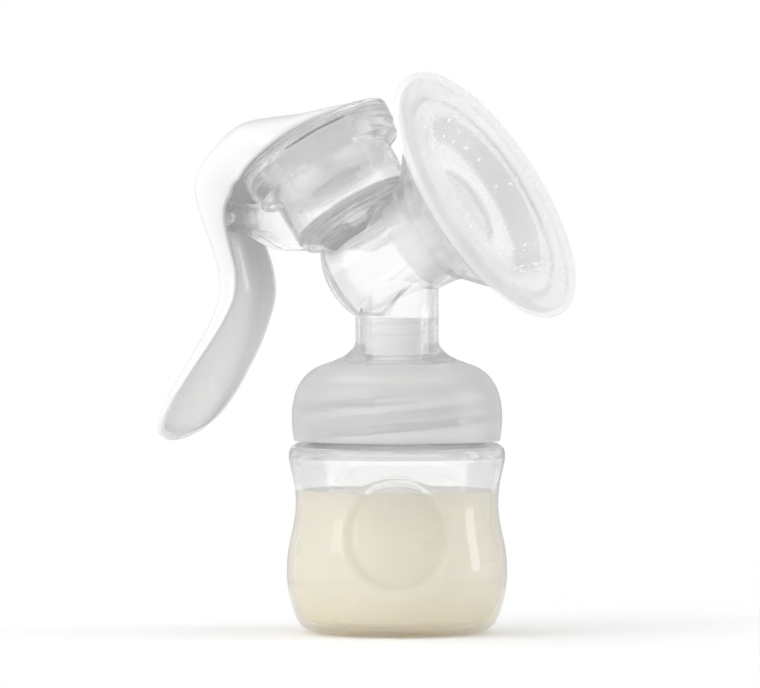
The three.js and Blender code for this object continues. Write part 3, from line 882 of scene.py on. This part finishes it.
def handle_pins():
    ends = ((5.4, 12.9), (-12.9, -5.4))
    return [rod("pin", PIN_R, (PIVOT[0], a, PIVOT[2]), (PIVOT[0], b, PIVOT[2]), 0.4) for a, b in ends]


def joined(name, pieces):
    """Several objects as one."""
    bpy.ops.object.select_all(action="DESELECT")
    for piece in pieces:
        piece.select_set(True)
    bpy.context.view_layer.objects.active = pieces[0]
    bpy.ops.object.join()
    pieces[0].name = name
    return pieces[0]


# ---- the pieces, each on its body ----

def fit(piece, name, body, slot, material, *nodes):
    piece.name = name
    material.on(piece)
    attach(piece, body)
    if nodes:
        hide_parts(*nodes)
    return piece


clear = clear_plastic("clear_bottle", (0.985, 0.99, 0.99))
white = white_plastic()
# The cushion's silicone has a little painted light, a white emission of its own.
soft = silicone("clear_silicone", 0.93, 0.3, alpha=0.36, painted_glow=0.04)

painted_shade = painted_shade_plastic().material

shell = fit(bottle(), "bottle_shell", "bottle", "clear_bottle", clear, "bottle")
# painted shadow: the collar's shadow on the bottle's shoulder, and painted shade on the neck's thread
tint_faces(shell, painted_shade, on_shoulder_or_thread)
fit(milk(), "milk_fill", "bottle", "milk", milk_liquid(), "milk")
shell = fit(pump_shell(), "pump_shell", "pump_head", "clear_body", body_plastic(), "pump_body")
# painted shade in the cup's solid bottom and on the collar's thread
tint_faces(shell, painted_shade, on_cup_bottom_or_thread)
# painted shadow: a near-black tint along the rim slots
tint_faces(shell, clear_plastic("slot_painted_shadow", (0.08, 0.08, 0.08)).material, in_rim_slot)
# The valve's emission is painted light that brightens the plug inside the neck.
fit(valve(), "valve_skin", "valve", "white_silicone", silicone("white_silicone", 0.96, 0.4, painted_glow=0.08),
    "valve")
skin = fit(cushion(), "cushion_skin", "cushion", "clear_silicone", soft, "cushion")
# painted shade: darker, less see-through silicone on the cushion's steep inner wall and deep in its tunnel
tint_faces(skin, silicone("painted_shade_silicone", 0.82, 0.3, alpha=0.55).material, on_painted_shade_silicone)
# The dots' emission is painted light, a painted highlight that makes them stand out white on the wall.
fit(dotted(random.Random(7)), "cushion_dots", "cushion", "clear_silicone",
    silicone("dot_silicone", 0.98, 0.3, painted_glow=0.15))
fit(stem(), "stem_post", "stem", "stem_plastic", white, "stem")
fit(handle(), "handle_shell", "handle", "white_plastic", white, "handle")
fit(joined("handle_ribs", handle_ribs()), "handle_ribs", "handle", "white_plastic", white)
fit(joined("handle_pins", handle_pins()), "handle_pins", "handle", "white_plastic", white)

folded = diaphragm()
# The folded cup's emission is painted light that lightens the inside of the chamber.
silicone("folded_silicone", 0.92, 0.3, alpha=0.3, painted_glow=0.14).on(folded)
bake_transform(folded)
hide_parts("diaphragm")


# ---- studio ----

CAMERA_TURN = math.radians(25.3)
CAMERA_RISE = math.radians(1.134)
CAMERA_DISTANCE = 2.0
TARGET = Vector((-0.00482, -0.00228, 0.0904))
LENS = 302.2
SENSOR = 36
# (place, light) from left to right, and from back to front
GLASS_BANDS = ((0, 0.7), (0.1, 0.55), (0.24, 1.0), (0.5, 1.0), (0.76, 1.0), (0.9, 0.5), (1, 0.6))
LIGHT_BANDS = ((0, 1.1), (0.15, 1.45), (0.3, 1.3), (0.5, 0.95), (0.75, 0.85), (1, 1.2))
FRONT_BANDS = ((0, 0.5), (0.3, 0.75), (0.5, 1.05), (0.75, 0.85), (1, 0.5))

TO_RIGHT = Vector((math.cos(CAMERA_TURN), math.sin(CAMERA_TURN), 0))
TO_CAMERA = Vector((
    math.sin(CAMERA_TURN) * math.cos(CAMERA_RISE),
    -math.cos(CAMERA_TURN) * math.cos(CAMERA_RISE),
    math.sin(CAMERA_RISE),
))
LEVEL_FRONT = Vector((TO_CAMERA.x, TO_CAMERA.y, 0)).normalized()

FLOOR_RADIUS = 0.6
FLOOR_DROP = 0.0002         # keeps the floor clear of the bottle's base
FLOOR_FADE = (0.06, 0.24)   # the floor fades out between these distances from the origin
FLOOR_GLOW = 0.1


def looking(obj, position, target):
    obj.location = position
    obj.rotation_euler = (Vector(target) - Vector(position)).to_track_quat("-Z", "Y").to_euler()
    bpy.context.scene.collection.objects.link(obj)
    return obj


def camera():
    data = bpy.data.cameras.new("camera")
    data.lens = LENS
    data.sensor_width = SENSOR
    data.clip_start = 0.1
    data.clip_end = 20
    cam = looking(bpy.data.objects.new("camera", data), TARGET + CAMERA_DISTANCE * TO_CAMERA, TARGET)
    bpy.context.scene.camera = cam


def softbox(name, right, up, front, width, height, power):
    """A rectangular light at a place given in metres from the object's middle, seen from the camera."""
    data = bpy.data.lights.new(name, "AREA")
    data.shape = "RECTANGLE"
    data.size = width
    data.size_y = height
    data.energy = power
    place = TARGET + right * TO_RIGHT + front * LEVEL_FRONT + Vector((0, 0, up))
    looking(bpy.data.objects.new(name, data), place, TARGET)


def world():
    """A white surround. Light that comes through the clear walls finds a grey band to either side, which
    draws their edges. The rest finds a bright left side and a darker front, which shapes the white pieces."""
    surround = bpy.data.worlds.new("studio")
    bpy.context.scene.world = surround
    surround.use_nodes = True
    nodes, links = surround.node_tree.nodes, surround.node_tree.links
    background = nodes["Background"]
    coordinates = nodes.new("ShaderNodeTexCoord")
    path = nodes.new("ShaderNodeLightPath")

    def along(direction):
        dot = nodes.new("ShaderNodeVectorMath")
        dot.operation = "DOT_PRODUCT"
        dot.inputs[1].default_value = direction
        links.new(coordinates.outputs["Generated"], dot.inputs[0])
        shifted = nodes.new("ShaderNodeMapRange")
        shifted.inputs["From Min"].default_value = -1
        shifted.inputs["From Max"].default_value = 1
        links.new(dot.outputs["Value"], shifted.inputs["Value"])
        return shifted.outputs["Result"]

    def banded(value, bands):
        ramp = nodes.new("ShaderNodeValToRGB")
        elements = ramp.color_ramp.elements
        for element, (position, light) in zip((elements[0], elements[1]), (bands[0], bands[-1])):
            element.position = position
            element.color = (light, light, light, 1)
        for position, light in bands[1:-1]:
            elements.new(position).color = (light, light, light, 1)
        links.new(value, ramp.inputs["Fac"])
        return ramp.outputs["Color"]

    def mixed(factor, first, second, blend="MIX"):
        mix = nodes.new("ShaderNodeMix")
        mix.data_type = "RGBA"
        mix.blend_type = blend
        mix.clamp_result = False
        for socket, value in ((0, factor), (6, first), (7, second)):
            if isinstance(value, (int, float, tuple)):
                mix.inputs[socket].default_value = value
            else:
                links.new(value, mix.inputs[socket])
        return mix.outputs[2]

    across = along(TO_RIGHT)
    lit = mixed(1.0, banded(across, LIGHT_BANDS), banded(along(LEVEL_FRONT), FRONT_BANDS), "MULTIPLY")
    seen = mixed(path.outputs["Is Transmission Ray"], lit, banded(across, GLASS_BANDS))
    links.new(mixed(path.outputs["Is Camera Ray"], seen, (1, 1, 1, 1)), background.inputs["Color"])
    background.inputs["Strength"].default_value = 1.0


def floor():
    """A pale floor that fades out away from the object."""
    mesh = bmesh.new()
    bmesh.ops.create_circle(mesh, cap_ends=True, segments=96, radius=FLOOR_RADIUS)
    bmesh.ops.translate(mesh, verts=mesh.verts, vec=(0, 0, -FLOOR_DROP))
    data = bpy.data.meshes.new("floor")
    mesh.to_mesh(data)
    mesh.free()
    ground = bpy.data.objects.new("floor", data)
    bpy.context.scene.collection.objects.link(ground)
    material = bpy.data.materials.new("floor")
    material.use_nodes = True
    nodes, links = material.node_tree.nodes, material.node_tree.links
    shader = nodes["Principled BSDF"]
    shader.inputs["Base Color"].default_value = (0.9, 0.9, 0.9, 1)
    shader.inputs["Roughness"].default_value = 0.6
    shader.inputs["Emission Color"].default_value = (1, 1, 1, 1)
    shader.inputs["Emission Strength"].default_value = FLOOR_GLOW
    coordinates = nodes.new("ShaderNodeTexCoord")
    length = nodes.new("ShaderNodeVectorMath")
    length.operation = "LENGTH"
    links.new(coordinates.outputs["Object"], length.inputs[0])
    fade = nodes.new("ShaderNodeMapRange")
    fade.interpolation_type = "SMOOTHSTEP"
    fade.inputs["From Min"].default_value = FLOOR_FADE[0]
    fade.inputs["From Max"].default_value = FLOOR_FADE[1]
    fade.inputs["To Min"].default_value = 1
    fade.inputs["To Max"].default_value = 0
    links.new(length.outputs["Value"], fade.inputs["Value"])
    links.new(fade.outputs["Result"], shader.inputs["Alpha"])
    data.materials.append(material)


camera()
world()
floor()
softbox("key", right=-1.1, up=0.5, front=0.6, width=0.7, height=0.7, power=4.2)
softbox("top", right=-0.2, up=1.3, front=-0.2, width=0.9, height=0.9, power=1.5)
softbox("side", right=1.3, up=0.35, front=0, width=0.3, height=0.9, power=3.6)
bpy.context.scene.cycles.max_bounces = 32
bpy.context.scene.cycles.diffuse_bounces = 12
bpy.context.scene.cycles.transmission_bounces = 32
bpy.context.scene.cycles.transparent_max_bounces = 48
bpy.context.scene.view_settings.view_transform = "Standard"
